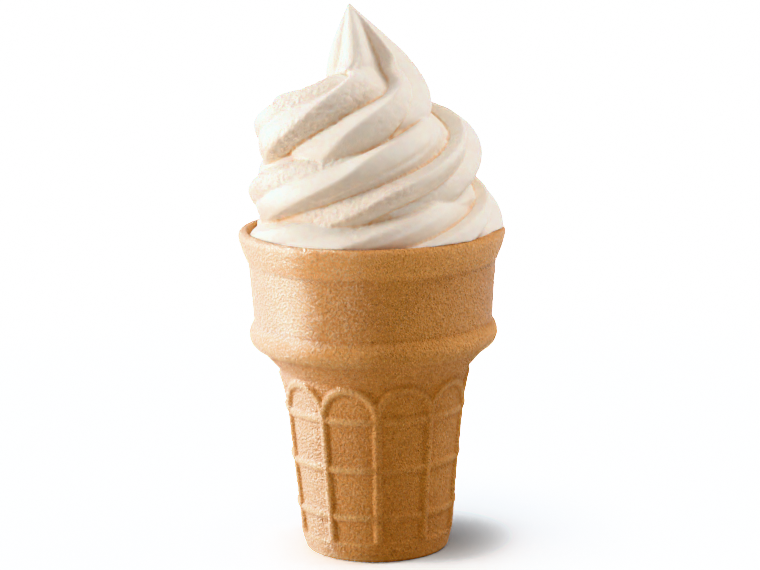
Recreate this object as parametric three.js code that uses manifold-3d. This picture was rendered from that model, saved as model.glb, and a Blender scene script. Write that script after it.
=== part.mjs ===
// Soft serve in a flat-bottomed wafer cone.
//
// Frame: millimetres, +Z up, origin at the centre of the flat underside of the wafer.
// The front of the object looks along -Y, and +X is to its right.
//
// The wafer is a thin shell: a tapered stem with a moulded arcade of round arches and three
// hoops, a 45 degree shoulder, a round bead, a plain collar and a flared lip. The soft serve is
// one solid: a rope with six lobes, wound anticlockwise as it rises, on a filling that reaches
// down to the wafer's floor.
//
// The rope leaves a star nozzle that never turns. A lobe therefore keeps its compass direction
// while the rope hangs straight, and once the rope lies down in a ring the same rule makes each
// lobe climb around it, one full turn for each lap. That is where the slanting flutes come from.

import * as THREE from 'three';
import { mergeVertices } from 'three/addons/utils/BufferGeometryUtils.js';
import Module from 'manifold-3d';

const wasm = await Module();
wasm.setup();

const UP = new THREE.Vector3(0, 0, 1);
const FULL_TURN = 2 * Math.PI;

// Wafer: heights and radii of the outer face ------------------------------------------------

const WALL = 2.0;                 // thickness of the wafer's wall and floor
const LATHE_SEGMENTS = 60;        // columns of the plain turned parts
const CAVITY_SEGMENTS = 48;
const ARC_STEPS = 4;              // straight pieces in each quarter round of a profile

const BASE_RADIUS = 16.9;         // flat foot, before the rounded corner is taken off
const BASE_CORNER = 1.1;
const STEM_FOOT_RADIUS = 17.05;   // panel face of the stem where it meets the floor line
const STEM_TOP_RADIUS = 21.3;     // panel face of the stem at the height STEM_TOP
const STEM_TOP = 41.0;
const STEM_CAP = 43.3;            // the stem's solid ends inside the shoulder here
const STEM_CAP_RADIUS = 21.95;
const FOOT_BAND_TOP = 4.7;        // smooth band under the panels
const FOOT_BAND_RAISE = 0.3;
const FOOT_BAND_BEVEL = 0.4;

const SHOULDER_FOOT = { radius: 21.0, height: 41.9 };
const SHOULDER_LOW = { radius: 22.0, height: 43.2 };
const SHOULDER_HIGH = { radius: 26.5, height: 47.9 };
const BEAD = { radius: 26.3, height: 51.6, bulge: 2.75, halfHeight: 3.4 };
const COLLAR_LOW = { radius: 27.85, height: 54.9 };
const COLLAR_HIGH = { radius: 28.8, height: 68.6 };
const LIP_LOW = { radius: 29.2, height: 69.1 };
const LIP_MIDDLE = { radius: 30.3, height: 71.8 };
const LIP_HIGH = { radius: 31.0, height: 74.2 };
const LIP_WIDEST = { radius: 31.1, height: 75.0 };
const RIM_TOP = 76.1;
const RIM_OUTER_EDGE = 30.4;      // where the rounded rim turns into its flat top
const RIM_INNER_EDGE = 29.1;
const CAVITY_LIP = { radius: 28.3, height: 71.5 };
const CAVITY_COLLAR = { radius: 26.9, height: 67.0 };

// Wafer: the moulded arcade -----------------------------------------------------------------

const ARCHES = 10;
const FIRST_RIB = THREE.MathUtils.degToRad(-89);   // compass direction of one rib's centre
const RIB_WIDTH = 2.3;
const RIB_RAISE = 0.75;
const SPRING_HEIGHT = 35.3;       // where the ribs turn into round arches
const HOOP_HEIGHTS = [11.1, 22.7, 34.4];
const HOOP_WIDTH = 2.7;
const HOOP_RAISE = 0.6;

// Soft serve: the rope ----------------------------------------------------------------------

const FILL_GAP = 0.3;             // clearance between the soft serve and the wafer
const FILL_TOP = { radius: 28.0, height: 73.6 };
const CORE = [
  { radius: 19.5, height: 72.0 },
  { radius: 19.0, height: 84.0 },
  { radius: 16.0, height: 92.0 },
  { radius: 11.5, height: 99.0 },
  { radius: 8.0, height: 104.0 },
];
const KEEP_RADIUS = 45.0;         // wider and taller than the whole swirl
const KEEP_TOP = 140.0;

// One lap starts at the left (-X) and passes the front, the right and the back. Stations are a
// quarter lap apart; the first is a quarter lap before the rope passes the left.
const FIRST_LAP = -0.25;
const LAP_SPACING = 0.25;
const ROPE = {
  ringRadius: [19.0, 20.0, 20.6, 18.6, 19.0, 19.8, 17.5, 15.3, 15.5, 17.2, 9.4, 2.4, 0.5, 0.0],
  height: [69.0, 73.0, 74.0, 76.5, 81.0, 85.0, 89.5, 93.5, 96.0, 99.2, 104.0, 111.0, 119.5, 127.9],
  reach: [9.0, 9.3, 9.7, 12.0, 10.2, 9.0, 10.0, 10.8, 10.3, 9.7, 11.2, 10.8, 6.2, 0.7],
  tilt: [5, 5, 6, 7, 7, 7, 7, 8, 12, 24, 46, 71, 87, 90],
  sideways: [0, 0, 0, 0, 0, 0, 0, 0, 0, 0, -0.3, -0.2, -0.8, -4.2],
};
const ROPE_START = -0.15;
const ROPE_END = 3.0;
const TIP_ROUNDING = 0.7;
const CHUNKS = [ROPE_START, 0.5, 1.0, 1.5, 2.0, 2.25, 2.5, ROPE_END];
const STEPS_PER_LAP = 24;

// Soft serve: the six lobes. Each row is one lobe, by half laps from FIRST_LOBE_LAP. `valley` is
// the compass direction, in degrees from the front toward +X, of the valley at which the lobe
// begins. `crestStart` and `crestEnd` are where its crest begins and ends, as a share of the way
// to the next valley. `depth` is how deep its valley cuts, as a share of the rope's reach.
const FIRST_LOBE_LAP = 0;
const LOBE_SPACING = 0.5;
const CREST_SHARPNESS = 1.35;
const LOBES = [
  {
    valley: [-3, 0, 0, 0, -22, -2, 27],
    crestStart: [0.40, 0.40, 0.32, 0.32, 0.22, 0.25, 0.45],
    crestEnd: [0.88, 0.88, 0.90, 0.90, 0.80, 0.70, 0.60],
    depth: [0.28, 0.28, 0.28, 0.28, 0.32, 0.34, 0.36],
  },
  {
    valley: [60, 60, 58, 58, 52, 54, 70],
    crestStart: [0.45, 0.45, 0.45, 0.45, 0.45, 0.45, 0.45],
    crestEnd: [0.55, 0.55, 0.55, 0.55, 0.55, 0.55, 0.55],
    depth: [0.20, 0.20, 0.20, 0.20, 0.20, 0.20, 0.20],
  },
  {
    valley: [125, 125, 122, 118, 115, 118, 135],
    crestStart: [0.50, 0.50, 0.50, 0.50, 0.50, 0.50, 0.50],
    crestEnd: [0.50, 0.50, 0.50, 0.50, 0.50, 0.50, 0.50],
    depth: [0.22, 0.22, 0.22, 0.22, 0.22, 0.22, 0.22],
  },
  {
    valley: [185, 185, 182, 180, 175, 178, 195],
    crestStart: [0.50, 0.50, 0.50, 0.50, 0.50, 0.50, 0.50],
    crestEnd: [0.50, 0.50, 0.50, 0.50, 0.50, 0.50, 0.50],
    depth: [0.22, 0.22, 0.22, 0.22, 0.22, 0.22, 0.22],
  },
  {
    valley: [240, 240, 240, 238, 235, 238, 245],
    crestStart: [0.50, 0.50, 0.50, 0.50, 0.50, 0.50, 0.50],
    crestEnd: [0.50, 0.50, 0.50, 0.50, 0.50, 0.50, 0.50],
    depth: [0.20, 0.20, 0.20, 0.20, 0.20, 0.20, 0.20],
  },
  {
    valley: [298, 298, 304, 300, 290, 294, 297],
    crestStart: [0.42, 0.42, 0.43, 0.43, 0.36, 0.40, 0.45],
    crestEnd: [0.42, 0.42, 0.43, 0.43, 0.36, 0.40, 0.45],
    depth: [0.14, 0.14, 0.14, 0.14, 0.14, 0.16, 0.20],
  },
];

// Shared helpers ----------------------------------------------------------------------------

// Smooth curve through evenly spaced station values (uniform Catmull-Rom).
function stationValue(values, first, spacing, at) {
  const last = values.length - 1;
  const along = (at - first) / spacing;
  const cell = Math.min(Math.max(Math.floor(along), 0), last - 1);
  const part = along - cell;
  const p1 = values[cell];
  const p2 = values[cell + 1];
  const p0 = cell === 0 ? 2 * p1 - p2 : values[cell - 1];
  const p3 = cell === last - 1 ? 2 * p2 - p1 : values[cell + 2];
  const cubic = 3 * (p1 - p2) + p3 - p0;
  const square = 2 * p0 - 5 * p1 + 4 * p2 - p3;
  return p1 + 0.5 * part * (p2 - p0 + part * (square + part * cubic));
}

// Six times the volume of a closed indexed mesh: negative when its faces point inward.
function signedSize(points, triangles) {
  let size = 0;
  for (let i = 0; i < triangles.length; i += 3) {
    const [a, b, c] = [points[triangles[i]], points[triangles[i + 1]], points[triangles[i + 2]]];
    size += a.dot(new THREE.Vector3().crossVectors(b, c));
  }
  return size;
}

// Closed skin over a row of rings with equal numbers of points, capped by two end points.
function skinOverRings(rings, startPoint, endPoint) {
  const count = rings[0].length;
  const points = [...rings.flat(), startPoint, endPoint];
  const start = points.length - 2;
  const end = points.length - 1;
  const lastRow = (rings.length - 1) * count;
  const triangles = [];
  for (let i = 0; i < count; i += 1) {
    const next = (i + 1) % count;
    for (let row = 0; row < lastRow; row += count) {
      triangles.push(row + i, row + next, row + count + next);
      triangles.push(row + i, row + count + next, row + count + i);
    }
    triangles.push(start, next, i);
    triangles.push(end, lastRow + i, lastRow + next);
  }
  if (signedSize(points, triangles) < 0) triangles.reverse();
  const geometry = new THREE.BufferGeometry().setFromPoints(points);
  geometry.setIndex(triangles);
  return geometry;
}

function toSolid(geometry) {
  geometry.deleteAttribute('normal');
  geometry.deleteAttribute('uv');
  const merged = mergeVertices(geometry, 1e-4);
  const index = merged.getIndex().array;
  const kept = [];
  for (let i = 0; i < index.length; i += 3) {
    const [a, b, c] = [index[i], index[i + 1], index[i + 2]];
    if (a !== b && b !== c && c !== a) kept.push(a, b, c);
  }
  const mesh = new wasm.Mesh({
    numProp: 3,
    vertProperties: new Float32Array(merged.getAttribute('position').array),
    triVerts: new Uint32Array(kept),
  });
  return new wasm.Manifold(mesh);
}

function toMesh(solid, name, material) {
  const { vertProperties, triVerts } = solid.getMesh();
  const geometry = new THREE.BufferGeometry();
  geometry.setAttribute('position', new THREE.BufferAttribute(vertProperties, 3));
  geometry.setIndex(new THREE.BufferAttribute(triVerts, 1));
  geometry.computeVertexNormals();
  const mesh = new THREE.Mesh(geometry, material);
  mesh.name = name;
  return mesh;
}

// Solid turned about +Z from {radius, height} corners that start and end on the axis.
function turnedSolid(corners, segments) {
  const profile = corners.map(({ radius, height }) => new THREE.Vector2(radius, height));
  const geometry = new THREE.LatheGeometry(profile, segments);
  geometry.rotateX(Math.PI / 2);
  const points = [];
  const position = geometry.getAttribute('position');
  for (let i = 0; i < position.count; i += 1) {
    points.push(new THREE.Vector3().fromBufferAttribute(position, i));
  }
  const triangles = [...geometry.getIndex().array];
  if (signedSize(points, triangles) < 0) geometry.setIndex(triangles.reverse());
  return toSolid(geometry);
}

const corner = (radius, height) => ({ radius, height });

// Corners along an ellipse from one angle to another, measured from +radius toward +height.
function arcCorners(centre, halfWidth, halfHeight, fromDegrees, toDegrees, steps) {
  const corners = [];
  for (let i = 0; i <= steps; i += 1) {
    const angle = THREE.MathUtils.degToRad(fromDegrees + ((toDegrees - fromDegrees) * i) / steps);
    const radius = centre.radius + halfWidth * Math.cos(angle);
    corners.push(corner(radius, centre.height + halfHeight * Math.sin(angle)));
  }
  return corners;
}

// Wafer -------------------------------------------------------------------------------------

function panelRadius(height) {
  return STEM_FOOT_RADIUS + ((STEM_TOP_RADIUS - STEM_FOOT_RADIUS) * height) / STEM_TOP;
}

// 1 on the flat half of a raised band, falling to 0 at its edge.
function bandShape(distance, width) {
  const fall = (distance - width / 4) / (width / 4);
  return 1 - THREE.MathUtils.clamp(fall, 0, 1);
}

// How far the moulded relief stands out from the panel face.
function reliefAt(across, height, halfPitch) {
  if (height <= FOOT_BAND_TOP) return FOOT_BAND_RAISE;
  const rise = height - SPRING_HEIGHT;
  const ribDistance = rise < 0
    ? halfPitch - Math.abs(across)
    : Math.abs(Math.hypot(across, rise) - archRadius());
  const rib = RIB_RAISE * bandShape(ribDistance, RIB_WIDTH);
  const hoops = HOOP_HEIGHTS.map((hoop) => bandShape(Math.abs(height - hoop), HOOP_WIDTH));
  return Math.max(rib, HOOP_RAISE * Math.max(...hoops));
}

function archRadius() {
  return (Math.PI * panelRadius(SPRING_HEIGHT)) / ARCHES;
}

// Distances from the panel's centre line of the mesh lines that follow a rib and its arch.
function ribLines(height, halfPitch) {
  const rise = Math.max(height - SPRING_HEIGHT, 0);
  const offsets = [-RIB_WIDTH / 2, -RIB_WIDTH / 4, RIB_WIDTH / 4, RIB_WIDTH / 2];
  const base = rise > 0 ? archRadius() : halfPitch;
  const along = offsets.map((offset) => Math.sqrt(Math.max((base + offset) ** 2 - rise ** 2, 0)));
  return along.map((distance) => Math.min(distance, halfPitch));
}

function stemRing(height, radius, withRelief) {
  const halfPitch = (Math.PI * radius) / ARCHES;
  const lines = ribLines(height, halfPitch);
  const across = [...lines.map((line) => -line).reverse(), 0, ...lines, halfPitch];
  const ring = [];
  for (let arch = 0; arch < ARCHES; arch += 1) {
    const centre = FIRST_RIB + ((arch + 0.5) * FULL_TURN) / ARCHES;
    for (const offset of across) {
      const raise = withRelief ? reliefAt(offset, height, halfPitch) : 0;
      const angle = centre + offset / radius;
      const out = radius + raise;
      ring.push(new THREE.Vector3(out * Math.cos(angle), out * Math.sin(angle), height));
    }
  }
  return ring;
}

// Heights at which the relief changes: hoops, foot band and the crowns of the arches.
function stemHeights() {
  const halfHoop = HOOP_WIDTH / 2;
  const hoopRows = HOOP_HEIGHTS.flatMap((hoop) => [
    hoop - halfHoop, hoop - halfHoop / 2, hoop + halfHoop / 2, hoop + halfHoop,
  ]);
  const crown = archRadius();
  const archRows = [
    0.3 * crown, 0.5 * crown, 0.68 * crown,
    crown - RIB_WIDTH / 2, crown - RIB_WIDTH / 4, crown + RIB_WIDTH / 4, crown + RIB_WIDTH / 2,
  ].map((rise) => SPRING_HEIGHT + rise);
  return [FOOT_BAND_TOP, FOOT_BAND_TOP + FOOT_BAND_BEVEL, ...hoopRows, ...archRows];
}

function stemSolid() {
  const footCentre = corner(BASE_RADIUS - BASE_CORNER, BASE_CORNER);
  const foot = arcCorners(footCentre, BASE_CORNER, BASE_CORNER, -90, 0, ARC_STEPS);
  const rings = foot.map(({ radius, height }) => stemRing(height, radius, false));
  for (const height of stemHeights()) rings.push(stemRing(height, panelRadius(height), true));
  rings.push(stemRing(STEM_CAP, STEM_CAP_RADIUS, false));
  const floor = new THREE.Vector3(0, 0, 0);
  const cap = new THREE.Vector3(0, 0, STEM_CAP);
  return toSolid(skinOverRings(rings, floor, cap));
}

function upperSolid() {
  const bead = arcCorners(BEAD, BEAD.bulge, BEAD.halfHeight, -62, 62, 2 * ARC_STEPS);
  const rimCentre = corner(RIM_OUTER_EDGE, LIP_WIDEST.height);
  const rim = arcCorners(
    rimCentre,
    LIP_WIDEST.radius - RIM_OUTER_EDGE,
    RIM_TOP - LIP_WIDEST.height,
    0,
    90,
    ARC_STEPS - 1,
  );
  return turnedSolid([
    corner(0, SHOULDER_FOOT.height),
    SHOULDER_FOOT, SHOULDER_LOW, SHOULDER_HIGH,
    ...bead,
    COLLAR_LOW, COLLAR_HIGH, LIP_LOW, LIP_MIDDLE, LIP_HIGH,
    ...rim,
    corner(0, RIM_TOP),
  ], LATHE_SEGMENTS);
}

// Inner face of the wafer, from the floor to the rim, moved in by `gap`.
function cavityCorners(gap) {
  const stemInner = (height) => panelRadius(height) - WALL - gap;
  return [
    corner(0, WALL + gap),
    corner(stemInner(WALL), WALL + gap),
    corner(stemInner(STEM_TOP), STEM_TOP),
    corner(SHOULDER_HIGH.radius - WALL * 1.1 - gap, SHOULDER_HIGH.height + WALL * 0.6),
    corner(COLLAR_LOW.radius - WALL - gap, COLLAR_LOW.height),
    corner(CAVITY_COLLAR.radius - gap, CAVITY_COLLAR.height),
    corner(CAVITY_LIP.radius - gap, CAVITY_LIP.height),
    corner(RIM_INNER_EDGE - gap, RIM_TOP),
  ];
}

function waferSolid() {
  const aboveRim = RIM_TOP + WALL;
  const cavity = turnedSolid([
    ...cavityCorners(0),
    corner(RIM_INNER_EDGE, aboveRim),
    corner(0, aboveRim),
  ], CAVITY_SEGMENTS);
  return stemSolid().add(upperSolid()).subtract(cavity);
}

// Soft serve --------------------------------------------------------------------------------

const ropeValue = (values, lap) => stationValue(values, FIRST_LAP, LAP_SPACING, lap);
const lobeValue = (values, lap) => stationValue(values, FIRST_LOBE_LAP, LOBE_SPACING, lap);

function ropeCentre(lap) {
  const angle = Math.PI + FULL_TURN * lap;
  const radius = ropeValue(ROPE.ringRadius, lap);
  return new THREE.Vector3(
    ropeValue(ROPE.sideways, lap) + radius * Math.cos(angle),
    radius * Math.sin(angle),
    ropeValue(ROPE.height, lap),
  );
}

// Direction in which the rope runs: along the ring, lifted by its tilt.
function ropeDirection(lap) {
  const angle = Math.PI + FULL_TURN * lap;
  const tilt = THREE.MathUtils.degToRad(ropeValue(ROPE.tilt, lap));
  const level = Math.cos(tilt);
  return new THREE.Vector3(-Math.sin(angle) * level, Math.cos(angle) * level, Math.sin(tilt));
}

// Corners of the star, one lobe after another: compass direction and share of the full reach.
function starCorners(lap) {
  const corners = [];
  LOBES.forEach((lobe, i) => {
    const nextLobe = LOBES[(i + 1) % LOBES.length];
    const valley = lobeValue(lobe.valley, lap);
    const wrap = i === LOBES.length - 1 ? 360 : 0;
    const span = lobeValue(nextLobe.valley, lap) + wrap - valley;
    const start = lobeValue(lobe.crestStart, lap);
    const end = lobeValue(lobe.crestEnd, lap);
    const depth = lobeValue(lobe.depth, lap);
    const nextDepth = lobeValue(nextLobe.depth, lap);
    const halfway = 0.5 ** CREST_SHARPNESS;
    corners.push({ degrees: valley, share: 1 - depth });
    corners.push({ degrees: valley + (span * start) / 2, share: 1 - depth * halfway });
    corners.push({ degrees: valley + span * start, share: 1 });
    if (end - start > 0.05) corners.push({ degrees: valley + span * end, share: 1 });
    corners.push({ degrees: valley + (span * (1 + end)) / 2, share: 1 - nextDepth * halfway });
  });
  return corners;
}

function ropeSection(lap) {
  const centre = ropeCentre(lap);
  const bend = new THREE.Quaternion().setFromUnitVectors(UP, ropeDirection(lap));
  const reach = ropeValue(ROPE.reach, lap);
  return starCorners(lap).map(({ degrees, share }) => {
    const angle = THREE.MathUtils.degToRad(degrees) - Math.PI / 2;
    const spoke = new THREE.Vector3(Math.cos(angle), Math.sin(angle), 0);
    return spoke.applyQuaternion(bend).multiplyScalar(reach * share).add(centre);
  });
}

function ropeChunk(from, to) {
  const steps = Math.round((to - from) * STEPS_PER_LAP);
  const rings = [];
  for (let i = 0; i <= steps; i += 1) rings.push(ropeSection(from + ((to - from) * i) / steps));
  const start = ropeCentre(from);
  const end = ropeCentre(to);
  if (to === ROPE_END) end.z += TIP_ROUNDING;
  return toSolid(skinOverRings(rings, start, end));
}

// Everything the soft serve may fill: the wafer's cavity less the gap, and the air above it.
function keepSolid() {
  return turnedSolid([
    ...cavityCorners(FILL_GAP),
    corner(RIM_INNER_EDGE - FILL_GAP, RIM_TOP + FILL_GAP),
    corner(KEEP_RADIUS, RIM_TOP + FILL_GAP),
    corner(KEEP_RADIUS, KEEP_TOP),
    corner(0, KEEP_TOP),
  ], CAVITY_SEGMENTS);
}

function fillingSolid() {
  const filled = cavityCorners(FILL_GAP).filter(({ height }) => height < FILL_TOP.height);
  return turnedSolid([...filled, FILL_TOP, corner(0, FILL_TOP.height)], CAVITY_SEGMENTS);
}

function coreSolid() {
  const [bottom] = CORE;
  const top = CORE[CORE.length - 1];
  return turnedSolid([corner(0, bottom.height), ...CORE, corner(0, top.height)], CAVITY_SEGMENTS);
}

// The outermost skin alone, so that no sealed pocket is left between the laps.
function withoutPockets(solid) {
  const shells = solid.decompose();
  return shells.reduce((best, shell) => (shell.volume() > best.volume() ? shell : best));
}

function softServeSolid() {
  let swirl = coreSolid();
  for (let i = 0; i + 1 < CHUNKS.length; i += 1) {
    swirl = swirl.add(ropeChunk(CHUNKS[i], CHUNKS[i + 1]));
  }
  return withoutPockets(swirl.intersect(keepSolid()).add(fillingSolid()));
}

// The object --------------------------------------------------------------------------------

const waferMaterial = new THREE.MeshStandardMaterial({ color: 0xcf9650, roughness: 0.55, metalness: 0 });
const creamMaterial = new THREE.MeshStandardMaterial({ color: 0xf6ead8, roughness: 0.5, metalness: 0 });

const cone = new THREE.Group();
cone.add(toMesh(waferSolid(), 'wafer_cone', waferMaterial));
cone.add(toMesh(softServeSolid(), 'soft_serve', creamMaterial));

export default cone;
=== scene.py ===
"""Soft serve in a flat-bottomed wafer cone: shapes, finishes, light and camera for Blender 4.5.

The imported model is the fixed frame. Its two nodes, ``wafer_cone`` and ``soft_serve``, are
replaced by detailed meshes that sit in the same places. Lengths are in metres, +Z is up, the
front looks along -Y, and the origin is the centre of the wafer's flat underside.
"""

from __future__ import annotations

import logging
import math
from dataclasses import dataclass, field
from enum import Enum
from typing import Sequence

import bpy
import numpy as np
from mathutils import Matrix, Vector, kdtree

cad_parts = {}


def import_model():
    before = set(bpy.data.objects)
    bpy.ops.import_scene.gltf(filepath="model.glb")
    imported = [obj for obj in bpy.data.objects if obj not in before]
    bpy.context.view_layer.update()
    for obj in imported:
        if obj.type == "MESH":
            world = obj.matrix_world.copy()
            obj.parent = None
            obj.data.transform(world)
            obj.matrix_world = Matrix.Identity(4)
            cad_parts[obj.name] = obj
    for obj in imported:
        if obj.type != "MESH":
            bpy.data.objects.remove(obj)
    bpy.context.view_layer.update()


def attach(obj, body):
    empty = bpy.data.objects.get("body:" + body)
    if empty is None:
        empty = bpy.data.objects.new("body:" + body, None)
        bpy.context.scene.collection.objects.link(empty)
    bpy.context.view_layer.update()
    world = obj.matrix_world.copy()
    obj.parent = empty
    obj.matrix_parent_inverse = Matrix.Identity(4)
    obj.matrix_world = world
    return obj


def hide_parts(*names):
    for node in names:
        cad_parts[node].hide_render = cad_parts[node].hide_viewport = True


LOG = logging.getLogger("soft_serve_cone")
MM = 0.001
BODY = "root"
TINY = 1e-9  # keeps a division by a length from failing

Colour = tuple[float, float, float, float]
Triple = tuple[float, float, float]
Ring = tuple[float, float]  # radius and height on a turned profile
Span = tuple[float, float]  # where a stretch or an easing starts and ends


# Shape helpers -----------------------------------------------------------------------------


def smoothstep(low: float, high: float, value: np.ndarray) -> np.ndarray:
    """Ease from 0 at ``low`` to 1 at ``high``.

    Args:
        low: Value that gives 0.
        high: Value that gives 1; it may be below ``low``.
        value: Values to ease.

    Returns:
        Eased values, of the same shape as ``value``.
    """
    part = np.clip((np.asarray(value, float) - low) / (high - low), 0.0, 1.0)
    return part * part * (3.0 - 2.0 * part)


def station_value(values: Sequence[float], first: float, spacing: float, at: np.ndarray) -> np.ndarray:
    """Smooth curve through evenly spaced station values (uniform Catmull-Rom).

    Args:
        values: Value at each station.
        first: Place of the first station.
        spacing: Distance from one station to the next.
        at: Places to read the curve at.

    Returns:
        The curve's values at those places.
    """
    known = np.asarray(values, float)
    last = len(known) - 1
    along = (np.asarray(at, float) - first) / spacing
    cell = np.clip(np.floor(along).astype(int), 0, last - 1)
    part = along - cell
    p1, p2 = known[cell], known[cell + 1]
    p0 = np.where(cell == 0, 2 * p1 - p2, known[np.maximum(cell - 1, 0)])
    p3 = np.where(cell == last - 1, 2 * p2 - p1, known[np.minimum(cell + 2, last)])
    cubic = 3 * (p1 - p2) + p3 - p0
    square = 2 * p0 - 5 * p1 + 4 * p2 - p3
    return p1 + 0.5 * part * (p2 - p0 + part * (square + part * cubic))


def guided_value(stations: Sequence[float], values: Sequence[float], at: np.ndarray) -> np.ndarray:
    """Smooth curve through unevenly spaced stations that never swings past their values.

    Args:
        stations: Places of the stations, rising.
        values: Value at each station.
        at: Places to read the curve at.

    Returns:
        The curve's values at those places.
    """
    place, known = np.asarray(stations, float), np.asarray(values, float)
    gaps = np.diff(place)
    slopes = np.diff(known) / gaps
    before, after = slopes[:-1], slopes[1:]
    agree = before * after > 0
    mean = 2 * before * after / np.where(agree, before + after, 1.0)
    bend = np.concatenate([slopes[:1], np.where(agree, mean, 0.0), slopes[-1:]])
    cell = np.clip(np.searchsorted(place, at, side="right") - 1, 0, len(gaps) - 1)
    part = np.clip((at - place[cell]) / gaps[cell], 0.0, 1.0)
    rise = part * part * (3 - 2 * part)
    leave, arrive = part * (1 - part) ** 2, -part * part * (1 - part)
    curve = known[cell] + rise * (known[cell + 1] - known[cell])
    return curve + gaps[cell] * (leave * bend[cell] + arrive * bend[cell + 1])


class Grain:
    """Smooth random values over space, made from a seeded lattice."""

    LAYER_SHIFT = 7.31  # moves each layer off the lattice of the last one, in periods

    def __init__(self, seed: int, cells: int = 32) -> None:
        """Fill the lattice.

        Args:
            seed: Seed of the random values.
            cells: Lattice cells before the pattern repeats.
        """
        self.cells = cells
        self.lattice = np.random.default_rng(seed).uniform(-1.0, 1.0, (cells, cells, cells))

    def at(self, points: np.ndarray, period: float) -> np.ndarray:
        """Random value at each point, from about -1 to 1.

        Args:
            points: Array of shape (n, 3).
            period: Distance between lattice points.

        Returns:
            Array of n values.
        """
        scaled = points / period
        low = np.floor(scaled).astype(int)
        part = smoothstep(0.0, 1.0, scaled - low)
        total = np.zeros(len(points))
        for step in np.ndindex(2, 2, 2):
            weight = np.prod(np.where(step, part, 1.0 - part), axis=1)
            cell = (low + step) % self.cells
            total += weight * self.lattice[cell[:, 0], cell[:, 1], cell[:, 2]]
        return total

    def layered(self, points: np.ndarray, period: float, layers: int = 3) -> np.ndarray:
        """Several sizes of grain added up, each half as large and half as strong.

        Args:
            points: Array of shape (n, 3).
            period: Size of the coarsest grain.
            layers: Number of sizes.

        Returns:
            Array of n values.
        """
        total = np.zeros(len(points))
        for layer in range(layers):
            shifted = points + layer * self.LAYER_SHIFT * period
            total += self.at(shifted, period / 2**layer) / 2**layer
        return total


def closed_tube(rings: np.ndarray, low: Triple, high: Triple) -> tuple[np.ndarray, list[list[int]]]:
    """Skin through rings of points that run anticlockwise, closed at both ends.

    Args:
        rings: Array of shape (rings, points in a ring, 3).
        low: Point that closes the first ring.
        high: Point that closes the last ring.

    Returns:
        Array of points of shape (n, 3), and faces as rows of point numbers.
    """
    rows, columns = rings.shape[:2]
    row, column = np.meshgrid(np.arange(rows - 1), np.arange(columns), indexing="ij")
    here, beside = row * columns + column, row * columns + (column + 1) % columns
    faces = np.stack([here, beside, beside + columns, here + columns], axis=-1).reshape(-1, 4).tolist()
    points = np.concatenate([rings.reshape(-1, 3), [low, high]])
    last = (rows - 1) * columns
    for i in range(columns):
        following = (i + 1) % columns
        faces.append([rows * columns, following, i])
        faces.append([rows * columns + 1, last + i, last + following])
    return points, faces


def mesh_object(name: str, points: np.ndarray, faces: Sequence[Sequence[int]]) -> bpy.types.Object:
    """Make a smooth-shaded mesh object in the scene.

    Args:
        name: Name of the object and its mesh.
        points: Array of shape (n, 3), in metres.
        faces: Faces as rows of point numbers.

    Returns:
        The new object.
    """
    mesh = bpy.data.meshes.new(name)
    mesh.from_pydata(points.tolist(), [], faces)
    mesh.update()
    mesh.shade_smooth()
    made = bpy.data.objects.new(name, mesh)
    bpy.context.scene.collection.objects.link(made)
    return made


def read_rows(items: bpy.types.bpy_prop_collection, name: str, width: int, kind: type) -> np.ndarray:
    """Read one property of all of a mesh's vertices, normals or edges.

    Args:
        items: The vertices, normals or edges.
        name: Name of the property.
        width: How many numbers each item has in it.
        kind: Type of the numbers.

    Returns:
        Array of shape (items, width).
    """
    flat = np.empty(len(items) * width, kind)
    items.foreach_get(name, flat)
    return flat.reshape(-1, width)


def mesh_points(piece: bpy.types.Object) -> np.ndarray:
    """Vertex positions of a mesh object as an array of shape (n, 3)."""
    return read_rows(piece.data.vertices, "co", 3, np.float32).astype(float)


def mesh_normals(piece: bpy.types.Object) -> np.ndarray:
    """Vertex normals of a mesh object as an array of shape (n, 3)."""
    return read_rows(piece.data.vertex_normals, "vector", 3, np.float32).astype(float)


def set_mesh_points(piece: bpy.types.Object, points: np.ndarray) -> None:
    """Move the vertices of a mesh object.

    Args:
        piece: Mesh object.
        points: New positions, of shape (n, 3).
    """
    piece.data.vertices.foreach_set("co", points.astype(np.float32).ravel())
    piece.data.update()


def set_mask(piece: bpy.types.Object, name: str, values: np.ndarray) -> None:
    """Store one value from 0 to 1 a vertex, for the material to read.

    Args:
        piece: Mesh object.
        name: Name of the mask.
        values: One value for each vertex.
    """
    layer = piece.data.attributes.new(name, "FLOAT", "POINT")
    layer.data.foreach_set("value", np.clip(values, 0.0, 1.0).astype(np.float32))


def edge_array(piece: bpy.types.Object) -> np.ndarray:
    """Edges of a mesh object as an array of shape (n, 2)."""
    return read_rows(piece.data.edges, "vertices", 2, np.int32)


def relaxed(points: np.ndarray, edges: np.ndarray, rounds: int, share: float = 0.5) -> np.ndarray:
    """Move each point toward the mean of its neighbours, several times.

    Args:
        points: Positions of shape (n, 3), or values of shape (n,).
        edges: Pairs of neighbouring points.
        rounds: Number of passes.
        share: How far toward the mean each pass goes.

    Returns:
        The relaxed array.
    """
    moved = np.array(points, float)
    flat = moved.ndim == 1
    if flat:
        moved = moved[:, None]
    count = np.bincount(edges.ravel(), minlength=len(moved)).astype(float)[:, None]
    for _ in range(rounds):
        total = np.zeros_like(moved)
        for axis in range(moved.shape[1]):
            total[:, axis] = np.bincount(edges[:, 0], moved[edges[:, 1], axis], len(moved))
            total[:, axis] += np.bincount(edges[:, 1], moved[edges[:, 0], axis], len(moved))
        moved += share * (total / np.maximum(count, 1.0) - moved)
    return moved[:, 0] if flat else moved


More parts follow.
